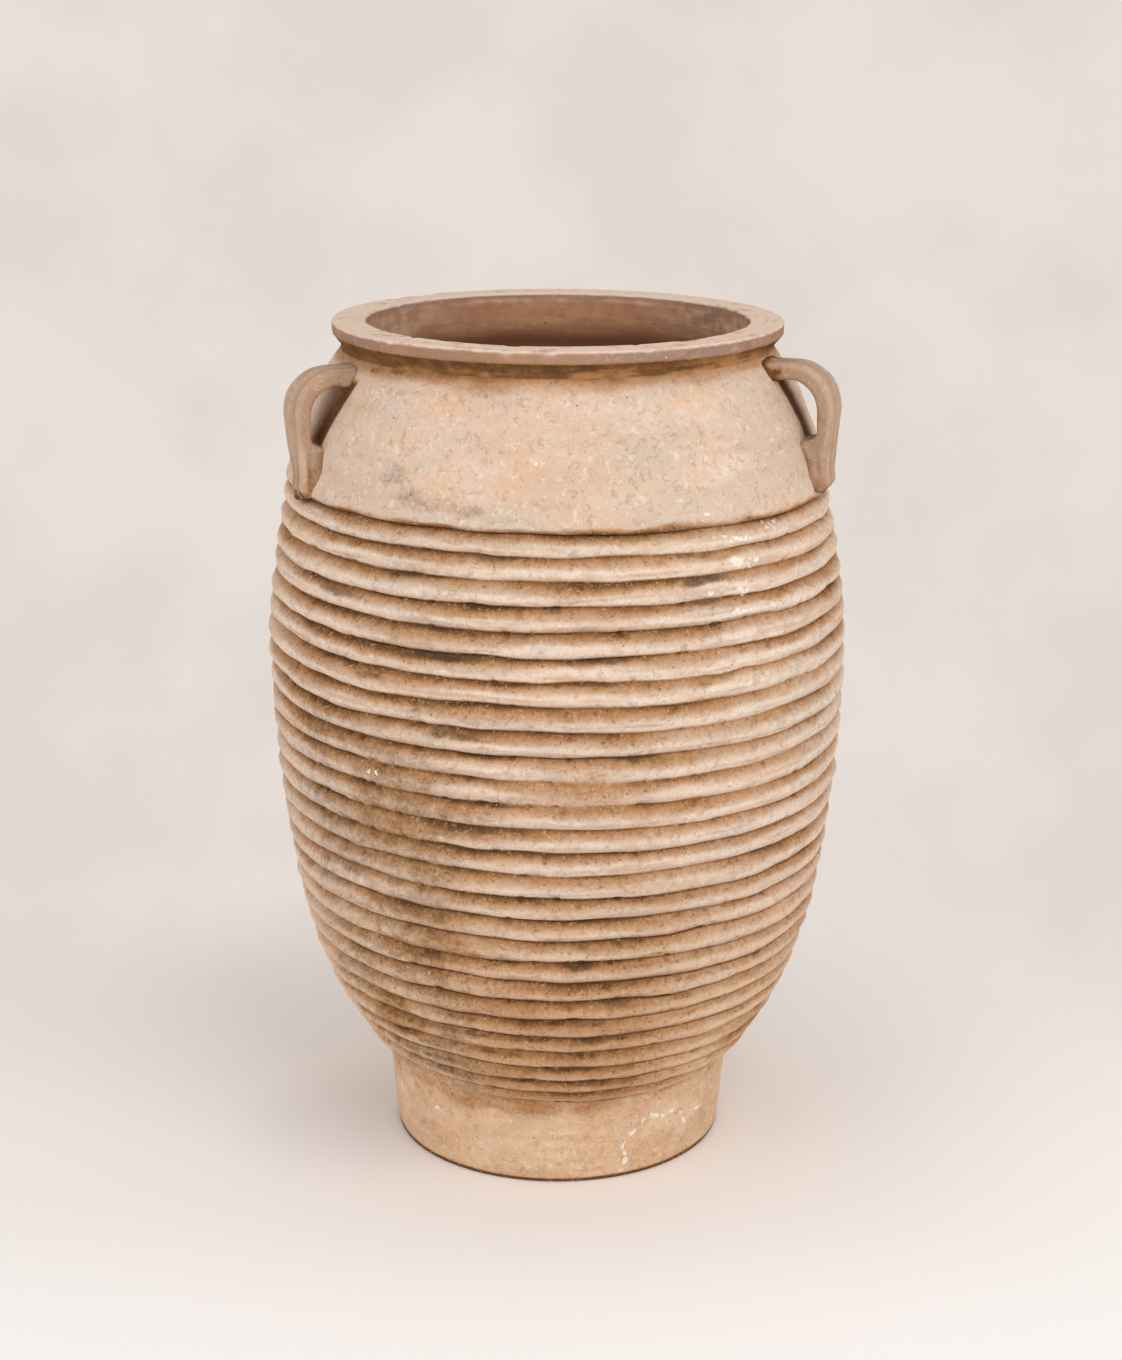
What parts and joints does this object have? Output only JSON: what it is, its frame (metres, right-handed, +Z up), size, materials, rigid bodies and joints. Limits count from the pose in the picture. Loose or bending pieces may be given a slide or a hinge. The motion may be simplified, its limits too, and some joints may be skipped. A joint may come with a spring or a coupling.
{
  "type": "ribbed pithos",
  "caption": "Large ribbed clay storage jar with a wide flat-lipped mouth, plain shoulder, two strap handles and a drum foot, built up from luted rings.",
  "frame": {"origin": "where the jar's upright axis meets the ground, in the middle of the flat base", "axes": "+Z up along the jar's axis, -Y to the front, +X to the right as seen from the front, handles to the left and right"},
  "size_m": [0.5478, 0.5478, 0.8],
  "materials": {
    "body_clay": "matte, unglazed, weathered",
    "lip_clay": "matte, unglazed, weathered",
    "handle_clay": "matte, unglazed, weathered"
  },
  "bodies": {
    "root": {"floor_disc": "body_clay", "foot_ring": "body_clay", "wall_course_1": "body_clay", "wall_course_2": "body_clay", "wall_course_3": "body_clay", "wall_course_4": "body_clay", "wall_course_5": "body_clay", "wall_course_6": "body_clay", "shoulder_course": "body_clay", "rim_lip": "lip_clay", "left_handle": "handle_clay", "right_handle": "handle_clay"}
  },
  "joints": []
}
